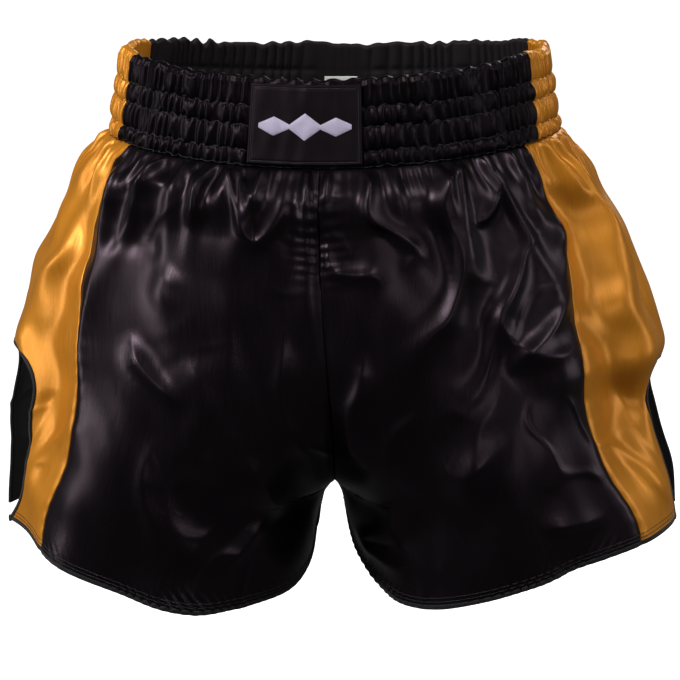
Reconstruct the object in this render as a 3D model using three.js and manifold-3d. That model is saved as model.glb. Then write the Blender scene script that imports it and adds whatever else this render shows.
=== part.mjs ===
// Thai-cut boxing shorts: a gathered waistband on four elastics, four black body panels,
// two gold side panels with an arched vent in each, and the trimmings sewn to them.
//
// Millimetres, +Z up. The front faces -Y and +X is the wearer's left. The origin is the
// centre of the waist opening, level with the top of the band at the two sides.
// "Drop" is the distance below the waist, and an angle on a leg is measured from its
// outer side line, negative towards the front.
import * as THREE from "three";
import { mergeVertices } from "three/addons/utils/BufferGeometryUtils.js";
import Module from "manifold-3d";

const wasm = await Module();
wasm.setup();

// ---------------------------------------------------------------- driving dimensions

// Waistband
const WAIST_HALF_WIDTH = 149;
const WAIST_HALF_DEPTH = 103;
const WAIST_DIP = 12; // how much lower the band sits at centre front and centre back
const WAIST_TURN = 5; // degrees that the band is turned on the body
const CHANNEL_HEIGHTS = [18.5, 13.5, 17, 11]; // the elastic channels, top to bottom
const BAND_FLARE = 9; // extra half width and half depth at the foot of the band
const ELASTIC_THICKNESS = 1.6;
const CASING_THICKNESS = 0.8;
const CHANNEL_BULGE = 1.5; // how far the gathers stand out between two stitch rows
const BAND_STATION = 7.5; // degrees between the cross-sections round the waist
const GOLD_BAND_STATIONS = 3; // stations from the side line to the end of the gold casing

// Body: half width and half depth at each drop that shapes the outline
const PUFF = 14; // how far the gathers spring out under the band
const PUFF_DROP = 10; // over how long a drop they do so
const UPPER_HIP = { drop: 110, halfWidth: 197, halfDepth: 136 };
const HIP = { drop: 165, halfWidth: 219, halfDepth: 142 };
const SEAT = { drop: 220, halfWidth: 231, halfDepth: 142 };
const THIGH = { drop: 330, halfWidth: 244, halfDepth: 134 };
const HEM = { drop: 392, halfWidth: 247, halfDepth: 129 };
const RISE = 313; // waist to crotch
const CROTCH_CURVE = 3; // power by which the legs part on the way down to the crotch
const LEG_SPREAD = 0.0014; // how fast the legs part under the crotch, per mm
const OUTSEAM = 336; // waist to hem at the vents, and at the inseam
const HEM_BOW = 53; // how much lower the hem hangs between the vent and the inseam
const HEM_BOW_SKEW = 1.55; // moves the lowest point of the hem towards the inseam
const PANEL_THICKNESS = 1;

// Gold side panels: half their width, in degrees from the side line
const GOLD_TOP_ANGLE = 29;
const GOLD_SEAT_ANGLE = 49;
const GOLD_HEM_ANGLE = 44;
const GOLD_SEAT_DROP = 285;

// Vents: an arch in the side view, from VENT_FRONT to VENT_BACK along Y
const VENT_DROP = 213;
const VENT_FRONT = -62;
const VENT_BACK = 28;
const VENT_CORNER = 30;
const VENT_STRAIGHT_DROP = 290; // where the front edge starts to swing back to the hem
const VENT_HEM_FRONT = -38;
const VENT_HEM_BACK = 24;
const FACING_WIDTH = 34;
const FACING_THICKNESS = 0.8;
const BINDING_WIDTH = 4;
const BINDING_THICKNESS = 2.2;

// Front patch and its motif
const PATCH_WIDTH = 76;
const PATCH_OFFSET = -11; // centre of the patch from centre front, along X
const PATCH_MARGIN = 2; // band left uncovered above and below the patch
const PATCH_THICKNESS = 0.8;
const MOTIF_WIDTH = 62;
const MOTIF_HEIGHT = 19;
const MOTIF_BAR = 3; // height of the bar between two lozenges
const MOTIF_LOZENGES = 3;
const MOTIF_OUTER_SHARE = 0.7; // height of the outer lozenges over the middle one's
const MOTIF_THICKNESS = 0.8;
const MOTIF_DROP = 31; // from the top of the band to the middle of the motif

// Label inside the centre back, sewn along its top edge
const LABEL_WIDTH = 24;
const LABEL_LENGTH = 30;
const LABEL_THICKNESS = 0.6;
const LABEL_DROP = 23; // below the top of the band at centre back
const LABEL_OFFSET = -5;
const LABEL_CLEARANCE = 1.4;

// Sewing
const THREAD = 0.6;
const HEM_ROW_INSETS = [4.5, 7.5]; // the two stitch rows, up from the hem
const HEM_ROW_SLANT = 1.3; // how far a row stops short of the vent, per mm of its inset
const PATCH_STITCH_INSET = 3;
const SEAM_BINDING_WIDTH = 8;
const SEAM_BINDING_THICKNESS = 0.8;

// Clearances
const SEAM_GAP = 0.4; // between two pieces sewn edge to edge
const LAYER_GAP = 0.4; // between two layers that have the same cross-sections
const LINING_GAP = 0.9; // between a panel and a piece on its concave side

const COLOURS = {
  blackSatin: [0x0c0a0e, 0.38],
  goldSatin: [0xc27a1f, 0.36],
  facing: [0x0b0b0d, 0.8],
  thread: [0x141216, 0.7],
  elastic: [0x1a1a1c, 0.85],
  embroidery: [0xcfc6e0, 0.6],
  label: [0xeeeeea, 0.75],
};

// ---------------------------------------------------------------- derived dimensions

const BAND_HEIGHT = CHANNEL_HEIGHTS.reduce((sum, height) => sum + height, 0);
const CAVITY = ELASTIC_THICKNESS / 2 + LAYER_GAP;
const CASING_FACE = CAVITY + CASING_THICKNESS;
const PATCH_BACK = CASING_FACE + CHANNEL_BULGE + LAYER_GAP;
const PATCH_FACE = PATCH_BACK + PATCH_THICKNESS;
const BODY_TOP = BAND_HEIGHT + SEAM_GAP;
const GOLD_BAND_ANGLE = THREE.MathUtils.degToRad(GOLD_BAND_STATIONS * BAND_STATION);
const BAND_STEPS = Math.round(360 / BAND_STATION);

const radians = THREE.MathUtils.degToRad;
const lerp = THREE.MathUtils.lerp;
const smoothstep = THREE.MathUtils.smoothstep;

// ---------------------------------------------------------------- the body's surface

const bandFoot = {
  halfWidth: WAIST_HALF_WIDTH + BAND_FLARE + CASING_FACE,
  halfDepth: WAIST_HALF_DEPTH + BAND_FLARE + CASING_FACE,
};
const stations = [
  { drop: BAND_HEIGHT, ...bandFoot },
  {
    drop: BAND_HEIGHT + PUFF_DROP,
    halfWidth: bandFoot.halfWidth + PUFF,
    halfDepth: bandFoot.halfDepth + PUFF,
  },
  UPPER_HIP,
  HIP,
  SEAT,
  THIGH,
  HEM,
];
const outline = new THREE.CubicInterpolant(
  stations.map((station) => station.drop),
  stations.flatMap((station) => [station.halfWidth, station.halfDepth]),
  2,
);

// Half width and half depth of the whole body at a drop.
function bodySize(drop) {
  if (drop > BAND_HEIGHT) return [...outline.evaluate(drop)];
  const flare = (BAND_FLARE * drop) / BAND_HEIGHT;
  return [WAIST_HALF_WIDTH + flare, WAIST_HALF_DEPTH + flare];
}

// How far the legs have parted: 0 at the band, 1 at the crotch, more beneath it.
function partingAt(drop) {
  if (drop > RISE) return 1 + LEG_SPREAD * (drop - RISE);
  return Math.max(0, (drop - BAND_HEIGHT) / (RISE - BAND_HEIGHT)) ** CROTCH_CURVE;
}

// The angle, from the side line, at which a leg meets the centre seam or its inseam.
function riseAngle(drop) {
  return Math.acos(-Math.min(partingAt(drop), 1));
}

// A point of the outer surface. Each leg's cross-section is an ellipse whose centre moves
// off the middle as the legs part; the turn and dip of the band fade towards the crotch.
function bodyPoint(side, angle, drop) {
  const [halfWidth, halfDepth] = bodySize(drop);
  const parting = partingAt(drop);
  const across = halfWidth / (1 + parting);
  const fade = 1 - smoothstep(drop, BAND_HEIGHT, RISE);
  const y = halfDepth * Math.sin(angle);
  const x = side * (parting * across + across * Math.cos(angle));
  const turn = Math.tan(radians(WAIST_TURN)) * fade;
  const dip = WAIST_DIP * fade * Math.sin(angle) ** 2;
  return new THREE.Vector3(x + turn * y, y, -drop - dip);
}

// The same point moved out along the surface's normal.
function skin(side, angle, drop, out) {
  const reach = 1e-3;
  const point = bodyPoint(side, angle, drop);
  const round = bodyPoint(side, angle + reach, drop).sub(point);
  const down = bodyPoint(side, angle, drop + reach * 100).sub(point);
  const normal = down.cross(round).multiplyScalar(side).normalize();
  return point.addScaledVector(normal, out);
}

// A point of the band: an ellipse that widens a little downwards, moved out level.
function bandPoint(angle, drop, out) {
  const [halfWidth, halfDepth] = bodySize(drop);
  const point = bodyPoint(1, angle, drop);
  const normal = new THREE.Vector3(halfDepth * Math.cos(angle), halfWidth * Math.sin(angle), 0);
  return point.addScaledVector(normal.normalize(), out);
}

// Drop of the hem at an angle of the leg.
function hemDrop(angle) {
  const start = Math.asin(-VENT_HEM_FRONT / THIGH.halfDepth);
  const share = Math.max(0, (Math.abs(angle) - start) / (Math.PI - start));
  return OUTSEAM + HEM_BOW * Math.sin(Math.PI * share ** HEM_BOW_SKEW);
}

// Half the width of the gold side panel, as an angle, at a drop.
function goldAngle(drop) {
  const above = smoothstep(drop, BAND_HEIGHT, GOLD_SEAT_DROP);
  const below = smoothstep(drop, GOLD_SEAT_DROP, OUTSEAM);
  const seat = lerp(GOLD_TOP_ANGLE, GOLD_SEAT_ANGLE, above);
  return radians(lerp(seat, GOLD_HEM_ANGLE, below));
}

// The angle that a length along the surface takes up.
function angleOf(length) {
  return length / SEAT.halfDepth;
}

// ---------------------------------------------------------------- solids

// Turns every face of a closed geometry outwards.
function faceOut(geometry) {
  const closed = mergeVertices(stripped(geometry), 1e-4);
  const position = closed.getAttribute("position");
  const index = closed.getIndex();
  const [a, b, c] = [new THREE.Vector3(), new THREE.Vector3(), new THREE.Vector3()];
  let volume = 0;
  for (let i = 0; i < index.count; i += 3) {
    a.fromBufferAttribute(position, index.getX(i));
    b.fromBufferAttribute(position, index.getX(i + 1));
    c.fromBufferAttribute(position, index.getX(i + 2));
    volume += a.dot(b.cross(c));
  }
  if (volume < 0) index.array.reverse();
  return closed;
}

// A geometry with its positions only.
function stripped(geometry) {
  const plain = geometry.clone();
  plain.deleteAttribute("normal");
  plain.deleteAttribute("uv");
  return plain;
}

// Moves each vertex of a geometry to where place puts it.
function bend(geometry, place) {
  const position = geometry.getAttribute("position");
  const from = new THREE.Vector3();
  for (let i = 0; i < position.count; i += 1) {
    const to = place(from.fromBufferAttribute(position, i), i);
    position.setXYZ(i, to.x, to.y, to.z);
  }
  return faceOut(geometry);
}

// A sheet with a thickness: surface(u, v, out) gives its points, u and v from 0 to 1.
function sheet(stepsAcross, stepsDown, inner, outer, surface) {
  const slab = new THREE.BoxGeometry(1, 1, 1, stepsAcross, stepsDown, 1);
  return bend(slab, (p) => surface(p.x + 0.5, 0.5 - p.y, lerp(inner, outer, p.z + 0.5)));
}

// A closed ring round the waist with a rectangular section between two drops.
function bandRing(top, bottom, inner, outer) {
  const corners = [
    [top, outer],
    [top, inner],
    [bottom, inner],
    [bottom, outer],
  ];
  const ring = new THREE.TorusGeometry(2, 1, corners.length, BAND_STEPS);
  const uv = ring.getAttribute("uv");
  return bend(ring, (_, i) => {
    const [drop, out] = corners[Math.round(uv.getY(i) * corners.length) % corners.length];
    const share = Math.round(uv.getX(i) * BAND_STEPS) % BAND_STEPS;
    return bandPoint((share / BAND_STEPS) * 2 * Math.PI, drop, out);
  });
}

// A solid of manifold-3d from a closed geometry, and back.
function solid(geometry) {
  return new wasm.Manifold(
    new wasm.Mesh({
      numProp: 3,
      vertProperties: geometry.getAttribute("position").array,
      triVerts: new Uint32Array(geometry.getIndex().array),
    }),
  );
}

function surfaceOf(manifold) {
  const mesh = manifold.getMesh();
  const geometry = new THREE.BufferGeometry();
  geometry.setAttribute("position", new THREE.BufferAttribute(mesh.vertProperties, 3));
  geometry.setIndex(new THREE.BufferAttribute(mesh.triVerts, 1));
  return geometry;
}

// ---------------------------------------------------------------- the band

// Drop of each stitch row, from the top edge to the foot of the band.
function rowDrops() {
  const drops = [0];
  for (const height of CHANNEL_HEIGHTS) drops.push(drops.at(-1) + height);
  return drops;
}

// Section of the casing: one cloth folded over the top edge, standing out at each channel.
function casingSection() {
  const rows = rowDrops();
  const section = new THREE.Shape();
  section.moveTo(CASING_FACE, 0);
  for (let i = 1; i < rows.length; i += 1) {
    section.lineTo(CASING_FACE + CHANNEL_BULGE, (rows[i - 1] + rows[i]) / 2);
    section.lineTo(CASING_FACE, rows[i]);
  }
  section.lineTo(CAVITY, BAND_HEIGHT);
  section.lineTo(CAVITY, CASING_THICKNESS);
  section.lineTo(-CAVITY, CASING_THICKNESS);
  section.lineTo(-CAVITY, BAND_HEIGHT);
  section.lineTo(-CASING_FACE, BAND_HEIGHT);
  section.lineTo(-CASING_FACE, 0);
  return section;
}

// The casing from one angle to another, each end held half a seam gap short.
function casing(from, to) {
  const steps = Math.round(THREE.MathUtils.radToDeg(to - from) / BAND_STATION);
  const run = new THREE.ExtrudeGeometry(casingSection(), {
    depth: 1,
    steps,
    bevelEnabled: false,
  });
  const gap = SEAM_GAP / 2 / WAIST_HALF_DEPTH;
  return bend(run, (p) => {
    const angle = THREE.MathUtils.clamp(lerp(from, to, p.z), from + gap, to - gap);
    return bandPoint(angle, p.y, p.x);
  });
}

function elastic(channel) {
  const rows = rowDrops();
  const top = Math.max(rows[channel], CASING_THICKNESS) + LAYER_GAP;
  const bottom = rows[channel + 1] - LAYER_GAP;
  return bandRing(top, bottom, -ELASTIC_THICKNESS / 2, ELASTIC_THICKNESS / 2);
}

function bandStitch(row) {
  const drop = rowDrops()[row];
  const bottom = drop + (row === CHANNEL_HEIGHTS.length ? 0 : THREAD / 2);
  const out = CASING_FACE + LAYER_GAP;
  return bandRing(bottom - THREAD, bottom, out, out + THREAD);
}

// ---------------------------------------------------------------- the patch

// The angle on the band at a distance along X from centre front.
function frontAngle(across) {
  return -Math.acos(across / WAIST_HALF_WIDTH);
}

const PATCH_STEPS_ACROSS = 12;
const PATCH_STEPS_DOWN = 4;
const MOTIF_STEPS = 6 * MOTIF_LOZENGES;

// A plate on the front of the band, inset from the patch's own edges.
function patchPlate(inset, inner, outer) {
  const half = PATCH_WIDTH / 2 - inset;
  const top = PATCH_MARGIN + inset;
  const bottom = BAND_HEIGHT - PATCH_MARGIN - inset;
  return sheet(PATCH_STEPS_ACROSS, PATCH_STEPS_DOWN, inner, outer, (u, v, out) =>
    bandPoint(frontAngle(PATCH_OFFSET + lerp(-half, half, u)), lerp(top, bottom, v), out),
  );
}

function patchStitch() {
  const back = PATCH_FACE + LAYER_GAP;
  const ring = solid(patchPlate(PATCH_STITCH_INSET, back, back + THREAD));
  const hole = solid(patchPlate(PATCH_STITCH_INSET + THREAD, back - THREAD, back + 2 * THREAD));
  return surfaceOf(ring.subtract(hole));
}

// Three lozenges in a row, joined by a bar; the middle one is the full height.
function motifHalfHeight(u) {
  const beat = Math.abs(((u * MOTIF_LOZENGES) % 1) - 0.5) * 2;
  const share = Math.abs(u - 0.5) < 0.5 / MOTIF_LOZENGES ? 1 : MOTIF_OUTER_SHARE;
  return lerp(MOTIF_HEIGHT * share, MOTIF_BAR, beat) / 2;
}

function motif() {
  const back = PATCH_FACE + LAYER_GAP;
  return sheet(MOTIF_STEPS, 2, back, back + MOTIF_THICKNESS, (u, v, out) => {
    const across = PATCH_OFFSET + lerp(-MOTIF_WIDTH, MOTIF_WIDTH, u) / 2;
    const drop = MOTIF_DROP + lerp(-1, 1, v) * motifHalfHeight(u);
    return bandPoint(frontAngle(across), drop, out);
  });
}

// ---------------------------------------------------------------- the body panels

const ROWS_TO_CROTCH = 12;
const ROWS_TO_HEM = 2;
const PANEL_ROWS = ROWS_TO_CROTCH + ROWS_TO_HEM;
const BODY_STEPS_ACROSS = 12;
const SIDE_STEPS_ACROSS = 10;
const VENT_ARC_SEGMENTS = 6;
const SEAM_BINDING_LAST_ROW = 9;

// Share of the drop at a row of the grid, with one row exactly at the crotch.
function rowShare(v) {
  const row = v * PANEL_ROWS;
  const crotch = (RISE - BODY_TOP) / (OUTSEAM - BODY_TOP);
  if (row <= ROWS_TO_CROTCH) return (crotch * row) / ROWS_TO_CROTCH;
  return lerp(crotch, 1, (row - ROWS_TO_CROTCH) / ROWS_TO_HEM);
}

// A black panel from the gold seam to the rise and inseam. End is -1 in front, 1 behind.
function bodyPanel(side, end) {
  const gap = angleOf(SEAM_GAP);
  return sheet(BODY_STEPS_ACROSS, PANEL_ROWS, -PANEL_THICKNESS, 0, (u, v, out) => {
    const hem = hemDrop(lerp(goldAngle(OUTSEAM), Math.PI, u));
    const drop = lerp(BODY_TOP, hem, rowShare(v));
    const angle = lerp(goldAngle(drop) + gap / 2, riseAngle(drop) - gap / 2, u);
    return skin(side, end * angle, drop, out);
  });
}

// The vent's arch in the side view, grown by a margin all round, down past the hem.
function ventShape(margin) {
  const foot = -(OUTSEAM + HEM_BOW);
  const top = -VENT_DROP + margin;
  const front = VENT_FRONT - margin;
  const back = VENT_BACK + margin;
  const corner = VENT_CORNER + margin;
  const shape = new THREE.Shape();
  shape.moveTo(VENT_HEM_FRONT - margin, foot);
  shape.lineTo(VENT_HEM_FRONT - margin, -OUTSEAM);
  shape.quadraticCurveTo(front, -(OUTSEAM + VENT_STRAIGHT_DROP) / 2, front, -VENT_STRAIGHT_DROP);
  shape.lineTo(front, top - corner);
  shape.absarc(front + corner, top - corner, corner, Math.PI, Math.PI / 2, true);
  shape.lineTo(back - corner, top);
  shape.absarc(back - corner, top - corner, corner, Math.PI / 2, 0, true);
  shape.lineTo(back, -VENT_STRAIGHT_DROP);
  shape.lineTo(VENT_HEM_BACK + margin, -OUTSEAM);
  shape.lineTo(VENT_HEM_BACK + margin, foot);
  return shape;
}

// That arch as a cutter through the outer side of one leg.
function ventCutter(side, margin) {
  const reach = 2 * HEM.halfWidth;
  const cutter = new THREE.ExtrudeGeometry(ventShape(margin), {
    depth: reach,
    bevelEnabled: false,
    curveSegments: VENT_ARC_SEGMENTS,
  });
  const axes = [new THREE.Vector3(0, 1, 0), new THREE.Vector3(0, 0, 1), new THREE.Vector3(1, 0, 0)];
  cutter.applyMatrix4(new THREE.Matrix4().makeBasis(...axes));
  cutter.translate(side > 0 ? 0 : -reach, 0, 0);
  return solid(faceOut(cutter));
}

// A sheet over the gold panel's place on the leg, between two distances from the surface.
function sideSheet(side, inner, outer, top, foot) {
  const gap = angleOf(SEAM_GAP);
  return sheet(SIDE_STEPS_ACROSS, PANEL_ROWS, inner, outer, (u, v, out) => {
    const hem = hemDrop(lerp(-1, 1, u) * goldAngle(OUTSEAM)) + foot;
    const drop = lerp(top, hem, rowShare(v));
    return skin(side, lerp(-1, 1, u) * (goldAngle(drop) - gap / 2), drop, out);
  });
}

function goldPanel(side) {
  const panel = solid(sideSheet(side, -PANEL_THICKNESS, 0, BODY_TOP, 0));
  return surfaceOf(panel.subtract(ventCutter(side, 0)));
}

// Black facing round the vent, on the inside of the gold panel.
function ventFacing(side) {
  const outer = -PANEL_THICKNESS - LINING_GAP;
  const top = VENT_DROP - 2 * FACING_WIDTH;
  const lining = solid(sideSheet(side, outer - FACING_THICKNESS, outer, top, 0));
  const faced = lining.intersect(ventCutter(side, FACING_WIDTH));
  return surfaceOf(faced.subtract(ventCutter(side, 0)));
}

// Binding along the vent's edge.
function ventBinding(side) {
  const inner = -(PANEL_THICKNESS + BINDING_THICKNESS) / 2;
  const top = VENT_DROP - 2 * FACING_WIDTH;
  const skinPiece = solid(sideSheet(side, inner, inner + BINDING_THICKNESS, top, 0));
  const edge = skinPiece.intersect(ventCutter(side, -SEAM_GAP));
  return surfaceOf(edge.subtract(ventCutter(side, -SEAM_GAP - BINDING_WIDTH)));
}

// ---------------------------------------------------------------- hem and seams

const HEM_STEPS = 44;

// A strip along the hem from the front of the vent, round the inseam, to the vent's back,
// that keeps clear of both vent edges.
function hemStrip(side, clear, above, below, inner, outer) {
  const front = Math.asin((clear - VENT_HEM_FRONT) / THIGH.halfDepth);
  const back = Math.asin((clear + VENT_HEM_BACK) / THIGH.halfDepth);
  return sheet(HEM_STEPS, 1, inner, outer, (u, v, out) => {
    const angle = lerp(front, 2 * Math.PI - back, u);
    const folded = angle > Math.PI ? 2 * Math.PI - angle : angle;
    return skin(side, -angle, hemDrop(folded) + lerp(above, below, v), out);
  });
}

function hemBinding(side) {
  const inner = -(PANEL_THICKNESS + BINDING_THICKNESS) / 2;
  const foot = SEAM_GAP + BINDING_WIDTH;
  return hemStrip(side, SEAM_GAP, SEAM_GAP, foot, inner, inner + BINDING_THICKNESS);
}

function hemStitch(side, inset) {
  const clear = HEM_ROW_SLANT * inset + SEAM_GAP;
  const above = -inset - THREAD / 2;
  return hemStrip(side, clear, above, above + THREAD, LAYER_GAP, LAYER_GAP + THREAD);
}

// The bound seam allowance along the inside of the centre seam, front (-1) or back (1),
// on the panels' own rows: clear of the gathers above and of the crotch below.
function riseBinding(end) {
  const depth = PANEL_THICKNESS + LINING_GAP;
  const rows = SEAM_BINDING_LAST_ROW - 1;
  return sheet(2, rows, depth, depth + SEAM_BINDING_THICKNESS, (u, v, under) => {
    const drop = lerp(BODY_TOP, OUTSEAM, rowShare((1 + v * rows) / PANEL_ROWS));
    const centre = bodyPoint(1, end * riseAngle(drop), drop);
    centre.x += lerp(-1, 1, u) * (SEAM_BINDING_WIDTH / 2);
    centre.y -= end * under;
    return centre;
  });
}

// The label hangs flat inside the centre back of the band.
function label() {
  const plate = new THREE.BoxGeometry(LABEL_WIDTH, LABEL_THICKNESS, LABEL_LENGTH);
  const back = bandPoint(Math.PI / 2, LABEL_DROP, -CASING_FACE - LABEL_CLEARANCE);
  const y = back.y - LABEL_THICKNESS / 2;
  plate.translate(back.x + LABEL_OFFSET, y, back.z - LABEL_LENGTH / 2);
  return faceOut(plate);
}

// ---------------------------------------------------------------- assembly

const shorts = new THREE.Group();

function add(name, geometry, finish) {
  const [color, roughness] = COLOURS[finish];
  const material = new THREE.MeshStandardMaterial({ color, roughness, metalness: 0 });
  const piece = new THREE.Mesh(geometry, material);
  piece.name = name;
  shorts.add(piece);
}

function addBand() {
  const gold = GOLD_BAND_ANGLE;
  add("band_casing_left", casing(-gold, gold), "goldSatin");
  add("band_casing_back", casing(gold, Math.PI - gold), "blackSatin");
  add("band_casing_right", casing(Math.PI - gold, Math.PI + gold), "goldSatin");
  add("band_casing_front", casing(Math.PI + gold, 2 * Math.PI - gold), "blackSatin");
  CHANNEL_HEIGHTS.forEach((_, channel) => {
    add(`waist_elastic_${channel + 1}`, elastic(channel), "elastic");
    add(`band_stitch_${channel + 1}`, bandStitch(channel + 1), "thread");
  });
}

function addFrontPatch() {
  add("front_patch", patchPlate(0, PATCH_BACK, PATCH_FACE), "blackSatin");
  add("patch_stitch", patchStitch(), "thread");
  add("patch_motif", motif(), "embroidery");
}

function addLeg(name, side) {
  add(`front_panel_${name}`, bodyPanel(side, -1), "blackSatin");
  add(`back_panel_${name}`, bodyPanel(side, 1), "blackSatin");
  add(`side_panel_${name}`, goldPanel(side), "goldSatin");
  add(`vent_facing_${name}`, ventFacing(side), "facing");
  add(`vent_binding_${name}`, ventBinding(side), "facing");
  add(`hem_binding_${name}`, hemBinding(side), "facing");
  HEM_ROW_INSETS.forEach((inset, row) => {
    add(`hem_stitch_${name}_${row + 1}`, hemStitch(side, inset), "thread");
  });
}

addBand();
addFrontPatch();
addLeg("left", 1);
addLeg("right", -1);
add("seam_binding_front", riseBinding(-1), "facing");
add("seam_binding_back", riseBinding(1), "facing");
add("size_label", label(), "label");

export default shorts;
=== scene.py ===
"""Satin boxing shorts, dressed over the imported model.

The cloth is worked out in millimetres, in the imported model's own frame: the front faces
-Y, +X is the wearer's left, and the waist is at z = 0. "Drop" is the distance below the
waist and an angle on a leg is measured from its outer side line, negative in front.
"""
import math

import bmesh
import bpy
import numpy as np
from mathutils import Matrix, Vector


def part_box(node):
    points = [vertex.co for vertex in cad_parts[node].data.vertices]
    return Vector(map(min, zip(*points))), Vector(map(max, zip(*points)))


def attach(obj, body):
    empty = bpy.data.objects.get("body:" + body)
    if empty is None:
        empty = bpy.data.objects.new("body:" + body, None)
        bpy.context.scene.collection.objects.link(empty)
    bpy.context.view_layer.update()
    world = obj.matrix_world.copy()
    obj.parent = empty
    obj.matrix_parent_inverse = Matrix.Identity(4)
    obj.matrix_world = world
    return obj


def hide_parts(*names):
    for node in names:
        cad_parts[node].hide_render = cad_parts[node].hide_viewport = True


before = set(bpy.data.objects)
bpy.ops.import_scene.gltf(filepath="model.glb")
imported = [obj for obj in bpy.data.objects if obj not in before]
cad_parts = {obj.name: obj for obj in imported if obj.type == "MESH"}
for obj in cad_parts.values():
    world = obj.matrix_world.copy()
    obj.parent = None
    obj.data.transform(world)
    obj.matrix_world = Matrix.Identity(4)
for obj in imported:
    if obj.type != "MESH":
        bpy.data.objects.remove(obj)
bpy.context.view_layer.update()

MM = 0.001
SEED = 7

# ------------------------------------------------------------------ camera

VIEW_DISTANCE = 4.5
VIEW_ELEVATION = math.radians(9.8)
VIEW_WIDTH = 0.4896  # what the frame takes in at the middle of the shorts
VIEW_TARGET = Vector((0.0036, 0.0, -0.213))
SENSOR = 36


def add_camera():
    """A long lens in front of the shorts and a little above, that frames them by VIEW_WIDTH."""
    data = bpy.data.cameras.new("camera")
    data.sensor_width = SENSOR
    data.lens = SENSOR * VIEW_DISTANCE / VIEW_WIDTH
    camera = bpy.data.objects.new("camera", data)
    bpy.context.scene.collection.objects.link(camera)
    back = Vector((0, -math.cos(VIEW_ELEVATION), math.sin(VIEW_ELEVATION)))
    camera.location = VIEW_TARGET + back * VIEW_DISTANCE
    camera.rotation_euler = (-back).to_track_quat("-Z", "Y").to_euler()
    bpy.context.scene.camera = camera


add_camera()

# ------------------------------------------------------------------ sizes, as the model has them

WAIST = (149.0, 103.0)  # half width and half depth at the elastics
WAIST_DIP = 12.0
WAIST_TURN = math.radians(5)
CHANNELS = np.array([18.5, 13.5, 17.0, 11.0])
ROWS = np.concatenate([[0.0], np.cumsum(CHANNELS)])
BAND = ROWS[-1]
BAND_FLARE = 9.0
GOLD_BAND = math.radians(22.5)
RISE = 313.0
OUTSEAM = 336.0
HEM_BOW = {1: (50.0, 1.72), -1: (52.0, 1.4)}  # how far each leg's hem bows down, and its skew
STATIONS = np.array([  # drop, half width, half depth
    (60, 160, 114),
    (70, 174, 128),
    (110, 197, 136),
    (165, 219, 142),
    (220, 231, 142),
    (330, 244, 134),
    (392, 247, 129),
], float)
GOLD_ANGLES = np.radians((29, 49, 44))  # at the band, at GOLD_SEAT and at the hem
GOLD_SEAT = 285.0
VENT_TOP = {1: 224.0, -1: 213.0}  # the two sides hang a little apart
VENT_CORNER = 30.0
VENT_SIDES = (-62.0, 28.0)
VENT_FEET = (-38.0, 24.0)
VENT_CLOSED = {1: 11.0, -1: 0.0}  # how much further shut the front edge of each side's vent hangs
VENT_STRAIGHT = 290.0
PATCH_SIZE = (76.0, 56.0)
PATCH_X = -11.0
MOTIF_SIZE = (62.0, 19.0)
LABEL_X = -5.0

# ------------------------------------------------------------------ sizes that only the cloth has

CLOTH = 0.6  # thickness of the satin
CASING_CLOTH = 0.5
PATCH_CLOTH = 0.9
FACING_CLOTH = 0.5
MOTIF_PAD = 0.5
SEAM_TAPE = 0.7
LABEL_TAPE = 0.35
PANEL_TOP = BAND - 0.6  # the panels' cloth starts just behind the band's foot
FACING_WIDTH = 46.0
FACING_GAP = 0.7  # between the facing and the inside of the panel
CASING_ROWS = (86, 7, 50)  # grid rows up the outside, over the top edge and down the inside
CASING_FLAT = 2 * BAND
# How far along the cloth map, in metres, the casing turns over its top edge.
CASING_TOP = (CASING_ROWS[0] + CASING_ROWS[1] // 2) / (sum(CASING_ROWS) - 1) * CASING_FLAT * MM
CASING_OUT = 1.35  # from the middle of an elastic to the cloth that a stitch row pinches to it
CASING_MEASURED = 40  # the grid row along which the cloth map is measured
CASING_PACKED = 1.6  # the gathered cloth's weave, as a share of the band's length
PATCH_OUT = 5.0  # how far the patch's face stands off the elastics
PATCH_INSET = 2.4  # from the patch's edge to its stitching
MOTIF_DROP = 31.0
VENT_TAPE = (-1.7, 0.45, -2.6, 0.5)  # inner and outer face, far and near edge
HEM_TAPE = (-1.7, 0.5, -2.8, 0.6)
HEM_ROWS = (4.8, 7.5)  # the two stitch rows above the hem
ROWS_DOWN = 190  # grid rows down a black panel
BAND_RADIUS = 128  # the band's radius evened out over its ellipse
FULLNESS = 1.15  # how much longer the gathered cloth is than the band

# ------------------------------------------------------------------ arithmetic


def smooth(x, low, high):
    """0 below low, 1 above high, and an S-curve between."""
    t = np.clip((x - low) / (high - low), 0, 1)
    return t * t * (3 - 2 * t)


def bell(x, width):
    """1 in the middle and e to the minus (x / width) squared away from it."""
    return np.exp(-((x / width) ** 2))


def ripple(turn, low, high, seed, count=14):
    """A random wave round a ring: the mean of cosines of whole frequencies from low to high."""
    draw = np.random.default_rng(SEED * 1000 + seed)
    total = 0.0
    for beat, phase in zip(draw.integers(low, high + 1, count), draw.uniform(0, 2 * np.pi, count)):
        total = total + np.cos(beat * turn + phase)
    return total / math.sqrt(count / 2)


def swell(x, y, length, seed, count=12):
    """Random relief on a plane: the mean of plane waves of about one length, in all directions."""
    draw = np.random.default_rng(SEED * 2000 + seed)
    total = 0.0
    for _ in range(count):
        heading = draw.uniform(0, np.pi)
        beat = 2 * np.pi / (length * draw.uniform(0.75, 1.4))
        along = x * np.cos(heading) + y * np.sin(heading)
        total = total + np.cos(along * beat + draw.uniform(0, 2 * np.pi))
    return total / math.sqrt(count / 2)


def unit(v):
    """Each vector divided by its length."""
    return v / np.linalg.norm(v, axis=-1, keepdims=True)


def mix(a, b, t):
    """a where t is 0, b where t is 1, and a straight line between and beyond."""
    return a + (b - a) * t


# ------------------------------------------------------------------ the body's surface


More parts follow.
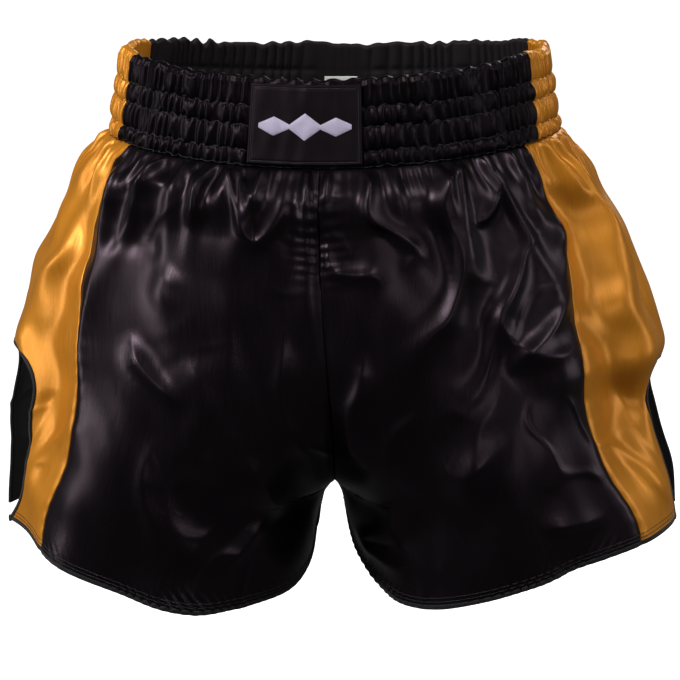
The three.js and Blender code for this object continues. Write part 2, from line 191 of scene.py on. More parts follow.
def body_size(drop):
    """Half width and half depth at a drop: straight down the band, then cubic between stations."""
    drops = STATIONS[:, 0]
    i = np.clip(np.searchsorted(drops, drop) - 1, 0, len(drops) - 2)
    span = drops[i + 1] - drops[i]
    t = np.clip((drop - drops[i]) / span, 0, 1.2)
    sizes = []
    for column in (1, 2):
        value = STATIONS[:, column]
        slope = np.gradient(value, drops)
        body = (
            (2 * t**3 - 3 * t**2 + 1) * value[i]
            + (t**3 - 2 * t**2 + t) * span * slope[i]
            + (3 * t**2 - 2 * t**3) * value[i + 1]
            + (t**3 - t**2) * span * slope[i + 1]
        )
        band = WAIST[column - 1] + BAND_FLARE * drop / BAND
        sizes.append(np.where(drop > BAND, body, band))
    return sizes


def parting(drop):
    """How far the legs have parted: 0 at the band, 1 at the crotch, a little more beneath it."""
    above = (np.clip((drop - BAND) / (RISE - BAND), 0, 1.4)) ** 3
    below = 1 + 0.0014 * (drop - RISE)
    meet = 0.08
    lower = (above + below - np.sqrt((above - below) ** 2 + meet**2)) / 2
    return np.clip(lower + meet / 2 * bell(drop - RISE, 45), 0, None)


def rise_angle(drop):
    """Where a leg's ellipse meets the middle plane: past a right angle by the share of parting."""
    return np.arccos(-np.clip(parting(drop), 0, 1))


def body_point(side, angle, drop):
    """Each leg is an ellipse whose centre leaves the middle as the legs part."""
    width, depth = body_size(drop)
    part = parting(drop)
    reach = width / (1 + part)
    fade = 1 - smooth(drop, BAND, RISE + 20)
    y = depth * np.sin(angle)
    x = side * (part * reach + reach * np.cos(angle)) + math.tan(WAIST_TURN) * fade * y
    z = -drop - WAIST_DIP * fade * np.sin(angle) ** 2
    return np.stack(np.broadcast_arrays(x, y, z), -1)


def body_normal(side, angle, drop):
    """The cross product of a small step down the surface and a small step round it."""
    here = body_point(side, angle, drop)
    round_ = body_point(side, angle + 1e-3, drop) - here
    down = body_point(side, angle, drop + 0.1) - here
    return unit(np.cross(down, round_) * side)


def hem_drop(side, angle):
    """The hem's drop: level at the vent, then bowed down by a skewed sine as far as the inseam."""
    start = math.asin(-VENT_FEET[0] / STATIONS[-2, 2])
    share = np.clip((np.abs(angle) - start) / (np.pi - start), 0, 1)
    bow, skew = HEM_BOW[side]
    return OUTSEAM + bow * np.sin(np.pi * share**skew)


def gold_angle(drop):
    """The gold seam's angle, eased from the band to the seat and from there to the hem."""
    top, seat, hem = GOLD_ANGLES
    upper = mix(top, seat, smooth(drop, BAND, GOLD_SEAT))
    return mix(upper, hem, smooth(drop, GOLD_SEAT, OUTSEAM))


# ------------------------------------------------------------------ folds

FOLD_HEIGHT = 1.2  # the folds' heights below are multiplied by this

# Folds on the front, each as points (x, level below the waist), half width and height.
FRONT_FOLDS = [
    ([(-100, 69), (-101, 92), (-99, 113)], 6.5, 5.0),
    ([(-77, 74), (-67, 100), (-54, 122), (-43, 101), (-33, 76)], 5.5, 4.6),
    ([(-68, 77), (-56, 93), (-47, 80)], 4.5, 3.0),
    ([(27, 74), (25, 102), (42, 115), (56, 129), (42, 152)], 5.5, 5.0),
    ([(-3, 100), (0, 138), (12, 144), (26, 147), (36, 158)], 5.0, 3.6),
    ([(90, 68), (76, 88), (80, 108), (88, 145), (80, 168), (66, 186), (53, 213), (44, 231)], 9.5, 7.0),
    ([(97, 116), (109, 101), (123, 75)], 5.5, 4.5),
    ([(172, 180), (158, 203), (134, 202), (114, 184), (121, 160), (130, 122)], 10.5, 4.6),
    ([(-128, 74), (-134, 98), (-137, 124)], 12, 4.4),
    ([(-156, 125), (-134, 131)], 7, -2.4),
    ([(-104, 196), (-92, 236), (-100, 284)], 15, 3.4),
    ([(146, 106), (161, 124)], 8, 4.5),
    ([(-117, 152), (-119, 160)], 9, 4.0),
    ([(-148, 183), (-138, 208), (-116, 228), (-97, 234)], 9, 5.0),
    ([(-50, 312), (-65, 340), (-87, 364)], 8, 3.6),
    ([(-107, 337), (-100, 343)], 10, 2.6),
    ([(46, 318), (51, 323)], 8, 3.6),
    ([(38, 330), (20, 345), (39, 354), (56, 364)], 6, 3.0),
    ([(126, 258), (88, 284), (62, 268)], 13, 4.6),
    ([(145, 332), (169, 322), (194, 313)], 7, 3.2),
    ([(-63, 268), (-51, 297), (-41, 328)], 12, 3.6),
    ([(22, 195), (13, 240), (10, 284)], 9, 4.0),
    ([(-155, 64), (-162, 106), (-171, 149), (-179, 199), (-184, 242), (-193, 290)], 8, 3.4),
    ([(-155, 88), (-130, 84), (-110, 76)], 7, 3.2),
    ([(94, 228), (89, 238)], 9, 3.2),
    ([(118, 210), (100, 262), (84, 312)], 16, 4.2),
    ([(141, 108), (124, 156), (106, 206), (92, 252)], 8, 4.8),
    ([(172, 158), (142, 196), (116, 222)], 7, 4.4),
    ([(60, 236), (40, 262), (30, 300)], 8, 3.0),
    ([(-30, 176), (-40, 224), (-30, 262), (-12, 284)], 8, 3.4),
    ([(-128, 258), (-134, 300), (-122, 344)], 9, 3.6),
    ([(-84, 140), (-72, 190), (-78, 250)], 17, 3.4),
]
# Folds on the back: long soft ones, as the cloth falls from the seat.
BACK_FOLDS = [
    ([(-118, 72), (-110, 120), (-116, 176)], 9, 5.5),
    ([(-84, 70), (-78, 104), (-86, 134)], 7, 4.6),
    ([(-52, 70), (-44, 118), (-26, 170), (-6, 214)], 9, 5.4),
    ([(-14, 72), (-16, 104), (-8, 128)], 6, 4.0),
    ([(30, 70), (26, 112), (14, 160), (4, 206)], 8.5, 5.2),
    ([(66, 70), (72, 110), (64, 150)], 7.5, 4.8),
    ([(104, 70), (98, 126), (112, 196)], 9.5, 5.6),
    ([(142, 74), (150, 132), (146, 180)], 9, 4.2),
    ([(-150, 80), (-158, 140), (-170, 200)], 9, 4.2),
    ([(-40, 258), (-74, 300), (-96, 352)], 13, 4.6),
    ([(44, 262), (76, 306), (86, 356)], 13, 4.6),
    ([(-132, 236), (-150, 290), (-146, 340)], 12, 3.8),
    ([(128, 230), (152, 282), (160, 336)], 12, 3.8),
    ([(8, 224), (30, 236), (66, 238)], 7, 3.2),
    ([(-10, 226), (-36, 236), (-60, 234)], 7, 3.2),
]


def smooth_line(points, steps):
    """Points on a Catmull-Rom curve through the given ones."""
    p = np.array(points, float)
    p = np.vstack([2 * p[0] - p[1], p, 2 * p[-1] - p[-2]])
    t = np.linspace(0, 1, steps, endpoint=False)[:, None]
    spans = []
    for a, b, c, d in zip(p[:-3], p[1:-2], p[2:-1], p[3:]):
        curve = (2 * b) + (c - a) * t + (2 * a - 5 * b + 4 * c - d) * t**2
        spans.append((curve + (3 * b - a - 3 * c + d) * t**3) / 2)
    return np.vstack([*spans, p[-2:-1]])


def fold(x, level, points, width, height):
    """One fold: height times exp(-(d / reach) ** 1.45) of the distance d to its line. The reach is
    short on one side and long on the other and widens along the line, and both ends die away,
    except where the fold leaves the band. A line of two points is a soft round swelling."""
    line = smooth_line(points, 5)
    nearest = np.full(np.shape(x), 1e9)
    share = np.zeros(np.shape(x))
    over = np.zeros(np.shape(x))
    count = len(line) - 1
    for k, ((ax, ay), (bx, by)) in enumerate(zip(line[:-1], line[1:])):
        dx, dy = bx - ax, by - ay
        t = np.clip(((x - ax) * dx + (level - ay) * dy) / (dx * dx + dy * dy), 0, 1)
        away = np.hypot(x - ax - t * dx, level - ay - t * dy)
        closer = away < nearest
        nearest = np.where(closer, away, nearest)
        share = np.where(closer, (k + t) / count, share)
        over = np.where(closer, dx * (level - ay) - dy * (x - ax), over)
    lean = smooth(over / width / 20, -1, 1)
    if len(points) == 2:
        return 0.8 * height * bell(nearest, 1.2 * width)
    reach = width * mix(1.25, 0.55, lean) * (0.7 + 0.6 * share)
    start = 1.0 if points[0][1] < 84 else smooth(share, 0, 0.35)
    return height * np.exp(-((nearest / reach) ** 1.45)) * start * smooth(1 - share, 0, 0.4)


def gathers(turn, below):
    """Pleats that hang from the foot of the band: a bell across each, wider and lower down."""
    draw = np.random.default_rng(SEED)
    count = 46
    places = (np.arange(count) + draw.uniform(-0.33, 0.33, count)) * 2 * np.pi / count
    total = 0.0
    mean = 0.0
    for place in places:
        length = draw.uniform(24, 84)
        slant = draw.uniform(-0.0013, 0.0013)
        size = draw.uniform(3.6, 7.4)
        width = draw.uniform(0.017, 0.03) * (1 + np.clip(below, 0, 110) / 60)
        gap = np.angle(np.exp(1j * (turn - place - slant * below)))
        fallen = size * bell(np.clip(below, 0, None), length)
        total = total + fallen * bell(gap, width)
        mean = mean + fallen * width / (2 * math.sqrt(np.pi))
    crimp = ripple(turn, 90, 150, 31) * 0.9 * np.exp(-np.clip(below, 0, None) / 9)
    return (total - mean + crimp) * smooth(below, -1, 7)


def material_turn(side, angle, drop):
    """Where a point of the cloth lies round the body, from -90 degrees at the front rise."""
    share = angle / rise_angle(drop) * (np.pi / 2)
    return share if side > 0 else np.pi - share


def relief(side, angle, drop):
    """How far the folded cloth stands off the plain surface."""
    angle, drop = np.broadcast_arrays(angle, drop)
    place = body_point(side, angle, drop)
    x, level = place[..., 0], -place[..., 2]
    turn = material_turn(side, angle, drop)
    below = drop - BAND
    height = gathers(turn, below)
    settle = smooth(below, 8, 60)
    radius = body_size(drop)[1]
    to_rise = (rise_angle(drop) - np.abs(angle)) * radius
    for tall, share_x, share_level, length, seed in SWELLS:
        height = height + tall * swell(share_x * x, share_level * level, length, seed) * settle
    patchy = smooth(swell(x, level, 110, 13), 0.2, 1.4)
    height = height + 0.9 * patchy * bell(swell(x, level, 56, 12), 0.42) * settle
    hem = hem_drop(side, angle) - drop
    inseam = np.maximum(smooth(to_rise, 0, 50), smooth(drop, RISE - 4, RISE + 12))
    height = height + 2.2 * ripple(angle, 3, 8, 41 + side) * bell(hem, 90) * inseam
    bent_x = x + 1.3 * swell(x, level, 52, 21)
    bent_level = level + 1.8 * swell(x, level, 60, 22)
    for folds, facing in ((FRONT_FOLDS, -1), (BACK_FOLDS, 1)):
        mask = smooth(facing * np.sin(angle), 0.12, 0.4)
        if np.any(mask > 0):
            total = sum(fold(bent_x, bent_level, *one) for one in folds)
            height = height + mask * FOLD_HEIGHT * total * smooth(below, 0, 12)
    height = height + side_folds(side, angle, drop) + side_hang(side, angle, drop)
    return height + seams(side, angle, drop, turn, hem)


# Random swells of the body's cloth: height, share of x and of level, length and seed.
SWELLS = ((1.5, 0.75, 0.45, 60, 3), (0.5, 1.0, 0.5, 30, 11))

# Folds down the gold panels: side, angle and drop at the start and end, half width and height.
SIDE_FOLDS = [
    (1, -25, 64, -38, 330, 8.5, -12.0),
    (1, -15, 68, -27, 330, 6.0, 6.5),
    (1, -5, 66, -9, 240, 3.6, -3.6),
    (1, -19, 64, -15, 150, 3.0, 2.6),
    (1, -33, 170, -22, 260, 4.0, 2.4),
    (1, 14, 72, 20, 240, 7.5, 3.6),
    (1, 30, 70, 38, 200, 6.0, 3.2),
    (-1, -27, 64, -20, 170, 3.6, 4.6),
    (-1, -23, 66, -39, 300, 5.0, -5.5),
    (-1, -13, 64, -12, 150, 4.5, 4.4),
    (-1, -20, 140, -16, 230, 4.5, 3.0),
    (-1, -24, 190, -38, 300, 5.0, -2.4),
    (-1, -18, 196, -24, 268, 2.6, 1.8),
    (-1, -40, 262, -30, 318, 3.4, 2.2),
    (-1, -31, 236, -24, 296, 2.6, -1.8),
    (1, -38, 268, -26, 320, 3.2, 2.4),
    (1, -30, 226, -24, 300, 2.4, -2.0),
    (-1, 6, 66, 2, 190, 6.5, 3.4),
    (-1, 22, 70, 30, 230, 7.0, 3.8),
    (-1, -45, 250, -33, 336, 7.0, 1.6),
]


# How far the cloth hangs in or out at each side line, as (drop, distance) pairs.
SIDE_HANG = {
    -1: [(60, -5), (75, -6.5), (104, -8), (133, -8.5), (150, -5), (190, -3.5), (206, 0),
         (272, 0), (290, -4.5), (336, -7)],
    1: [(60, -6), (75, -6), (104, -4.5), (120, -2), (133, 0), (176, 4), (200, 6.5), (219, 10),
        (232, -2.5), (247, -3), (276, 1), (304, 5.5), (336, 5)],
}


def side_hang(side, angle, drop):
    """The hang at the side line, evened out over a short way up and down and fading with the
    cosine squared towards front and back."""
    drops, reach = np.array(SIDE_HANG[side]).T
    outer = np.clip(np.cos(angle), 0, 1) ** 2
    shifts = np.linspace(-14, 14, 15)
    weights = np.cos(shifts / 10) ** 2
    soft = sum(w * np.interp(drop + s, drops, reach) for w, s in zip(weights, shifts))
    soft = soft / weights.sum()
    return soft * outer * smooth(drop, BAND, BAND + 12)


def side_folds(side, angle, drop):
    """Soft folds on the gold panels: a bell of the angle round a line that slants as it falls."""
    total = 0.0
    turned = np.degrees(angle) + 1.8 * np.cos(drop / 17 + 2 * side) + 0.8 * np.cos(drop / 7.1)
    for leg, start, top, end, foot, width, height in SIDE_FOLDS:
        if leg != side:
            continue
        share = (drop - top) / (foot - top)
        place = mix(start, end, np.clip(share, -0.2, 1.2))
        live = smooth(share, -0.06, 0.12) * smooth(share, 1.1, 0.6)
        total = total + height * bell(turned - place, width) * live
    return total


def seams(side, angle, drop, turn, hem):
    """Dips along the seams, and the small puckers that sewing draws beside them."""
    radius = body_size(drop)[1]
    to_gold = (np.abs(angle) - gold_angle(drop)) * radius
    to_rise = (rise_angle(drop) - np.abs(angle)) * radius
    live = smooth(drop - BAND, 4, 20)
    dips = -0.9 * bell(to_gold, 2.6) * live
    dips = dips - 1.5 * bell(to_rise, 3.2) * live * (1 - smooth(drop, RISE - 30, RISE))
    beat = 2 * np.pi * drop / 8.2 + 2.2 * np.cos(drop / 11) + 1.6 * side
    pucker = np.cos(beat + 0.12 * to_rise) * bell(to_rise - 5, 8)
    dips = dips + 0.5 * pucker * smooth(drop, 64, 80) * (1 - smooth(drop, 110, 160))
    seam_beat = np.cos(2 * np.pi * drop / 13 + 2 * np.cos(drop / 19)) * bell(to_gold, 7)
    dips = dips + 0.15 * seam_beat * live
    along = np.abs(angle) * radius
    hem_beat = np.cos(2 * np.pi * (along + 0.7 * hem) / 7.4 + 2.4 * np.cos(along / 17))
    strength = (0.5 + 0.35 * ripple(turn, 4, 12, 51)) * smooth(np.abs(angle), 0.5, 0.85)
    return dips + hem_beat * strength * bell(hem - 6.5, 6.5)


def cloth(side, angle, drop, lift=0.0):
    """A point of the folded cloth, lifted off its outer face. Beside the centre seams it moves only
    front to back, so that the two sides stay joined."""
    away = relief(side, angle, drop) + lift
    out = body_normal(side, angle, drop)
    to_rise = (rise_angle(drop) - np.abs(angle)) * body_size(drop)[1]
    apart = np.maximum(smooth(to_rise, 0, 12), smooth(drop, RISE - 6, RISE + 4))
    out = out * np.stack(np.broadcast_arrays(apart, 1.0, 1.0), -1)
    return body_point(side, angle, drop) + out * away[..., None]


# ------------------------------------------------------------------ meshes


def add_object(name, mesh, material):
    """A smooth-shaded object with one material."""
    piece = bpy.data.objects.new(name, mesh)
    bpy.context.scene.collection.objects.link(piece)
    mesh.materials.append(material)
    mesh.polygons.foreach_set("use_smooth", np.ones(len(mesh.polygons), bool))
    mesh.update()
    return piece


def fill_mesh(name, points, quads, uv):
    """A mesh of four-cornered faces with its cloth map, from millimetres."""
    mesh = bpy.data.meshes.new(name)
    mesh.vertices.add(len(points))
    mesh.vertices.foreach_set("co", (points * MM).astype(np.float32).ravel())
    mesh.loops.add(quads.size)
    mesh.loops.foreach_set("vertex_index", quads.astype(np.int32).ravel())
    mesh.polygons.add(len(quads))
    mesh.polygons.foreach_set("loop_start", np.arange(0, quads.size, 4, dtype=np.int32))
    layer = mesh.uv_layers.new(name="cloth")
    layer.data.foreach_set("uv", (uv[quads.ravel()] * MM).astype(np.float32).ravel())
    mesh.update(calc_edges=True)
    mesh.validate()
    return mesh


def grid(name, points, outward, material, thickness=CLOTH, uv=None, hole=None):
    """A sheet through a grid of points, its faces turned the way outward says, then thickened.
    Faces marked in hole are left out, and so are points that no face uses."""
    rows, columns = points.shape[:2]
    index = np.arange(rows * columns).reshape(rows, columns)
    corners = (index[:-1, :-1], index[1:, :-1], index[1:, 1:], index[:-1, 1:])
    quads = np.stack(corners, -1).reshape(-1, 4)
    flat = points.reshape(-1, 3)
    across = flat[quads[:, 2]] - flat[quads[:, 0]]
    other = flat[quads[:, 3]] - flat[quads[:, 1]]
    facing = np.cross(across, other) * outward.reshape(-1, 3)[quads[:, 0]]
    if facing.sum() < 0:
        quads = quads[:, ::-1]
    if uv is None:
        step_across = np.linalg.norm(np.diff(points, axis=1), axis=-1)
        step_down = np.linalg.norm(np.diff(points, axis=0), axis=-1)
        u = np.pad(np.cumsum(step_across, 1), ((0, 0), (1, 0)))
        v = np.pad(np.cumsum(step_down, 0), ((1, 0), (0, 0)))
        uv = np.stack([u, v], -1)
    uv = uv.reshape(-1, 2)
    if hole is not None:
        quads = quads[~hole.ravel()]
        used, fresh = np.unique(quads, return_inverse=True)
        quads, flat, uv = fresh.reshape(quads.shape), flat[used], uv[used]
    piece = add_object(name, fill_mesh(name, flat, quads, uv), material)
    wall = piece.modifiers.new("thickness", "SOLIDIFY")
    wall.thickness = thickness * MM
    wall.offset = -1
    return piece


def sweep(name, path, outward, profile, material, closed=False):
    """A closed profile of (out, across) points, or one per path point, carried along a path."""
    if closed:
        tangent = np.roll(path, -1, 0) - np.roll(path, 1, 0)
    else:
        tangent = np.gradient(path, axis=0)
    tangent = unit(tangent)
    out = unit(outward - tangent * (outward * tangent).sum(-1, keepdims=True))
    across = np.cross(tangent, out)
    shape = np.broadcast_to(profile, (len(path), *np.shape(profile)[-2:]))
    ring = path[:, None] + out[:, None] * shape[..., :1] + across[:, None] * shape[..., 1:]
    count, sides = ring.shape[:2]
    index = np.arange(count * sides).reshape(count, sides)
    index = np.hstack([index, index[:, :1]])
    if closed:
        index = np.vstack([index, index[:1]])
    corners = (index[:-1, :-1], index[:-1, 1:], index[1:, 1:], index[1:, :-1])
    quads = np.stack(corners, -1).reshape(-1, 4)
    x, y = np.asarray(shape[0, :, 0]), np.asarray(shape[0, :, 1])
    if (x * np.roll(y, -1) - y * np.roll(x, -1)).sum() > 0:
        quads = quads[:, ::-1]
    points = ring.reshape(-1, 3)
    length = np.pad(np.cumsum(np.linalg.norm(np.diff(path, axis=0), axis=-1)), (1, 0))
    uv = np.stack(np.broadcast_arrays(length[:, None], np.arange(sides) * 1.0), -1)
    mesh = fill_mesh(name, points, quads, uv.reshape(-1, 2))
    if not closed:
        close_ends(mesh, sides, count)
    return add_object(name, mesh, material)


def close_ends(mesh, sides, count):
    """Caps the two ends of a swept mesh."""
    work = bmesh.new()
    work.from_mesh(mesh)
    work.verts.ensure_lookup_table()
    first = [work.verts[i] for i in range(sides)]
    last = [work.verts[(count - 1) * sides + i] for i in range(sides)]
    work.faces.new(first)
    work.faces.new(last[::-1])
    bmesh.ops.recalc_face_normals(work, faces=work.faces)
    work.to_mesh(mesh)
    work.free()


def rounded(low_out, high_out, low_across, high_across, sides=12):
    """A rounded rectangle as a closed profile: a superellipse of the fourth power."""
    t = np.linspace(0, 2 * np.pi, sides, endpoint=False) + np.pi / sides
    c, s = np.cos(t), np.sin(t)
    out = np.sign(c) * np.abs(c) ** 0.5 * (high_out - low_out) / 2 + (high_out + low_out) / 2
    across = np.sign(s) * np.abs(s) ** 0.5 * (high_across - low_across) / 2
    return np.stack([out, across + (high_across + low_across) / 2], -1)


def stitches(path, radius, pitch):
    """Round thread profiles for each point of a path, thinned where it dips between stitches."""
    length = np.pad(np.cumsum(np.linalg.norm(np.diff(path, axis=0), axis=-1)), (1, 0))
    size = radius * (0.35 + 0.65 * np.abs(np.sin(np.pi * length / pitch)) ** 0.5)
    t = np.linspace(0, 2 * np.pi, 6, endpoint=False)
    ring = np.stack([np.cos(t), np.sin(t)], -1)
    return ring[None] * size[:, None, None]


# ------------------------------------------------------------------ materials


class Value:
    """A shader socket that can be added, multiplied and so on, each as a Math node."""

    def __init__(self, finish, socket):
        self.finish = finish
        self.socket = socket

    def math(self, operation, *others):
        """A Math node that takes this value first."""
        return self.finish.node("ShaderNodeMath", {"operation": operation}, [self, *others])

    def __add__(self, other):
        return self.math("ADD", other)

    def __mul__(self, other):
        return self.math("MULTIPLY", other)

    def __rsub__(self, other):
        return self.finish.node("ShaderNodeMath", {"operation": "SUBTRACT"}, [other, self])

    def __sub__(self, other):
        return self.math("SUBTRACT", other)

    __radd__ = __add__
    __rmul__ = __mul__


class Finish:
    """A procedural material, built node by node."""

    def __init__(self, name, **shader):
        self.material = bpy.data.materials.new(name)
        self.material.use_nodes = True
        self.tree = self.material.node_tree
        self.shader = self.tree.nodes["Principled BSDF"]
        for socket, value in shader.items():
            self.shader.inputs[socket.replace("_", " ")].default_value = value

    def node(self, kind, settings=(), values=(), output=0):
        """Adds a node, first its settings and then its sockets' values or links."""
        made = self.tree.nodes.new(kind)
        for key, value in dict(settings).items():
            setattr(made, key, value)
        pairs = values.items() if isinstance(values, dict) else enumerate(values)
        for key, value in pairs:
            self.feed(made.inputs[key], value)
        return Value(self, made.outputs[output])

    def feed(self, socket, value):
        """Links a socket to another node's value, or sets it to a plain number or colour."""
        if isinstance(value, Value):
            self.tree.links.new(value.socket, socket)
        else:
            socket.default_value = value

    def set(self, socket, value):
        """Feeds one of the shader's own sockets."""
        self.feed(self.shader.inputs[socket], value)

    def cloth_map(self, scale):
        """The piece's own cloth map, in metres along and across the weave, stretched by scale."""
        uv = self.node("ShaderNodeUVMap", {"uv_map": "cloth"})
        return self.node("ShaderNodeMapping", {}, {"Vector": uv, "Scale": scale})

    def place(self):
        """The place on the piece, in metres."""
        return self.node("ShaderNodeTexCoord", output="Object")

    def noise(self, vector, scale, detail=2.0):
        """Random noise around a half, in layers that halve in size."""
        values = {"Vector": vector, "Scale": scale, "Detail": detail}
        return self.node("ShaderNodeTexNoise", {}, values)

    def blend(self, share, one, other):
        """A colour between two others."""
        mixed = self.tree.nodes.new("ShaderNodeMix")
        mixed.data_type = "RGBA"
        self.feed(mixed.inputs["Factor"], share)
        for key, colour in ((6, one), (7, other)):
            self.feed(mixed.inputs[key], colour)
        return Value(self, mixed.outputs[2])

    def bump(self, height, strength, distance):
        """Tilts the shading as a surface would that rises by height times distance, in metres."""
        values = {"Height": height, "Strength": strength, "Distance": distance}
        self.set("Normal", self.node("ShaderNodeBump", {}, values))


BLACK_DYE = ((0.0009, 0.0006, 0.0009, 1), (0.0022, 0.0016, 0.0022, 1))  # deepest and brightest
BLACK_SHEEN = (1, 0.72, 0.89, 1)
REVERSE = (0.017, 0.0145, 0.016, 1)  # the satin's dull side
UNTURNED = 9.0  # metres, further than any cloth map reaches


def satin(name, deep, bright, rough, gloss, tint=BLACK_SHEEN, metallic=0.0, turned=UNTURNED):
    """Polyester satin: streaks along the warp, a fine cross weave and slightly uneven gloss. From
    the length turned across the cloth map on, its duller reverse shows."""
    finish = Finish(name, Specular_IOR_Level=gloss, Metallic=metallic)
    finish.set("Specular Tint", tint)
    streaks = finish.noise(finish.cloth_map((1000, 42, 1)), 1.0, 5)
    weft = finish.noise(finish.cloth_map((500, 3600, 1)), 1.0, 2)
    cloud = finish.noise(finish.place(), 16.0, 3)
    across = finish.node("ShaderNodeSeparateXYZ", {}, [finish.cloth_map((1, 1, 1))], output=1)
    reverse = across.math("GREATER_THAN", turned)
    face = finish.blend(streaks * 0.35 + cloud * 0.65, deep, bright)
    finish.set("Base Color", finish.blend(reverse, face, REVERSE))
    finish.set("Roughness", (cloud - 0.5) * 0.12 + (streaks - 0.5) * 0.22 + reverse * 0.15 + rough)
    finish.bump(streaks * 0.7 + weft * 0.3, 0.3, 0.0004)
    return finish.material


def tape(name, deep, bright, rough, ribs):
    """A woven tape: ribs across its length over a fuzzy ground."""
    finish = Finish(name, Specular_IOR_Level=0.3, Sheen_Weight=0.12)
    ribbed = finish.node(
        "ShaderNodeTexWave",
        {"wave_type": "BANDS", "bands_direction": "X"},
        {"Vector": finish.cloth_map((ribs, ribs / 2, 1)), "Scale": 1.0, "Distortion": 1.2},
    )
    fuzz = finish.noise(finish.place(), 900.0, 3)
    finish.set("Base Color", finish.blend(fuzz * 0.6 + ribbed * 0.4, deep, bright))
    finish.set("Roughness", fuzz * 0.12 + rough)
    finish.bump(ribbed * 0.7 + fuzz * 0.3, 0.4, 0.0003)
    return finish.material


def yarn(name, deep, bright, rough, turns):
    """Twisted thread: slanting strands along the piece."""
    finish = Finish(name, Specular_IOR_Level=0.4, Sheen_Weight=0.1)
    strands = finish.node(
        "ShaderNodeTexWave",
        {"wave_type": "BANDS", "bands_direction": "DIAGONAL"},
        {"Vector": finish.cloth_map((turns, turns, 1)), "Scale": 1.0, "Distortion": 0.6},
    )
    fuzz = finish.noise(finish.place(), 1500.0, 2)
    finish.set("Base Color", finish.blend(strands * 0.7 + fuzz * 0.3, deep, bright))
    finish.set("Roughness", fuzz * 0.1 + rough)
    finish.bump(strands, 0.5, 0.0002)
    return finish.material


BLACK_SATIN = satin("black_satin", *BLACK_DYE, rough=0.34, gloss=0.3)
GOLD_SATIN = satin(
    "gold_satin",
    deep=(0.36, 0.108, 0.003, 1),
    bright=(0.9, 0.36, 0.028, 1),
    rough=0.37,
    gloss=0.5,
    tint=(1, 0.85, 0.6, 1),
    metallic=0.3,
)
BAND_SATIN = satin("band_satin", *BLACK_DYE, rough=0.39, gloss=0.11, turned=CASING_TOP)
PATCH_SATIN = satin(
    "patch_satin",
    deep=(0.0028, 0.0022, 0.0026, 1),
    bright=(0.0055, 0.0043, 0.005, 1),
    rough=0.52,
    gloss=0.19,
)
LINING = tape("black_lining", (0.002, 0.002, 0.0022, 1), (0.0045, 0.0042, 0.0048, 1), 0.8, 4200)
BINDING = tape("black_binding", (0.003, 0.0026, 0.0034, 1), (0.008, 0.007, 0.009, 1), 0.6, 3600)
THREAD = yarn("thread", (0.006, 0.005, 0.007, 1), (0.02, 0.017, 0.023, 1), 0.45, 4000)
ELASTIC = tape("elastic", (0.006, 0.006, 0.007, 1), (0.014, 0.014, 0.016, 1), 0.7, 2600)
EMBROIDERY = yarn("embroidery", (0.5, 0.44, 0.62, 1), (0.72, 0.66, 0.84, 1), 0.5, 1900)
LABEL = tape("label_tape", (0.74, 0.74, 0.72, 1), (0.88, 0.88, 0.86, 1), 0.65, 3000)

# ------------------------------------------------------------------ the band


def under_patch(turn):
    """1 behind the patch and 0 away from it, at a turn round the band."""
    x = WAIST[0] * np.cos(turn)
    front = smooth(-np.sin(turn), 0.3, 0.5)
    return front * smooth(PATCH_SIZE[0] / 2 + 3 - np.abs(x - PATCH_X), 0, 4)


def row_wobble(turn):
    """How far the stitch rows stray up and down: a fast and a slow random wave."""
    return 0.55 * ripple(turn, 60, 110, 61) + 0.35 * ripple(turn, 8, 22, 62)


def band_relief(turn, drop):
    """How far the gathered casing stands off the elastics: a bulge in each channel, broken into
    upright tucks by waves of uneven width, and pinched in to almost nothing at every stitch row."""
    level = np.clip(drop + row_wobble(turn) * smooth(drop, 0, 10), 0, BAND)
    i = np.clip(np.searchsorted(ROWS, level, side="right") - 1, 0, len(CHANNELS) - 1)
    share = np.clip((level - ROWS[i]) / CHANNELS[i], 0, 1)
    arch = np.sin(np.pi * share) ** 0.6
    arch = np.where(i == 0, np.where(share < 0.5, 1.0, arch), arch)
    total = 0.0
    for channel in range(len(CHANNELS)):
        slow = ripple(turn, 4, 14, 70 + channel)
        phase = 92 * turn + 2.6 * ripple(turn, 5, 24, 80) + 1.5 * ripple(turn, 12, 50, 90 + channel)
        tuck = np.abs(np.cos(phase / 2)) ** 1.15
        fine = ripple(turn, 120, 210, 100 + channel)
        edge = bell(np.minimum(share, 1 - share), 0.24)
        bulge = arch * (0.8 + 2.5 * tuck + 0.6 * slow) + edge * (0.45 * fine + 0.15)
        total = np.where(i == channel, bulge, total)
    return np.clip(total, 0, None) * (1 - 0.62 * under_patch(turn))


def inner_relief(turn, drop):
    """The casing's inside: upright gathers pressed flat against the wearer."""
    phase = 112 * turn + 3.4 * ripple(turn, 5, 26, 110) + 0.5 * np.cos(drop / 9)
    tuck = np.abs(np.cos(phase / 2)) ** 0.8
    row = np.min(np.abs(drop[..., None] - ROWS[1:]), -1)
    label = smooth(np.abs(WAIST[0] * np.cos(turn) - LABEL_X), 24, 15) * smooth(np.sin(turn), 0, 0.5)
    tall = (2.3 * tuck + 0.35 * ripple(turn, 6, 20, 111)) * (1 - 0.88 * label)
    return 0.2 + np.clip(tall, 0, None) * (1 - 0.6 * bell(row, 2.2))


def band_point(turn, drop, out):
    """A point of the band, moved out level from the line of the elastics."""
    width, depth = body_size(drop)
    level = unit(np.stack(np.broadcast_arrays(depth * np.cos(turn), width * np.sin(turn), 0.0), -1))
    return body_point(1, turn, drop) + level * np.asarray(out)[..., None]


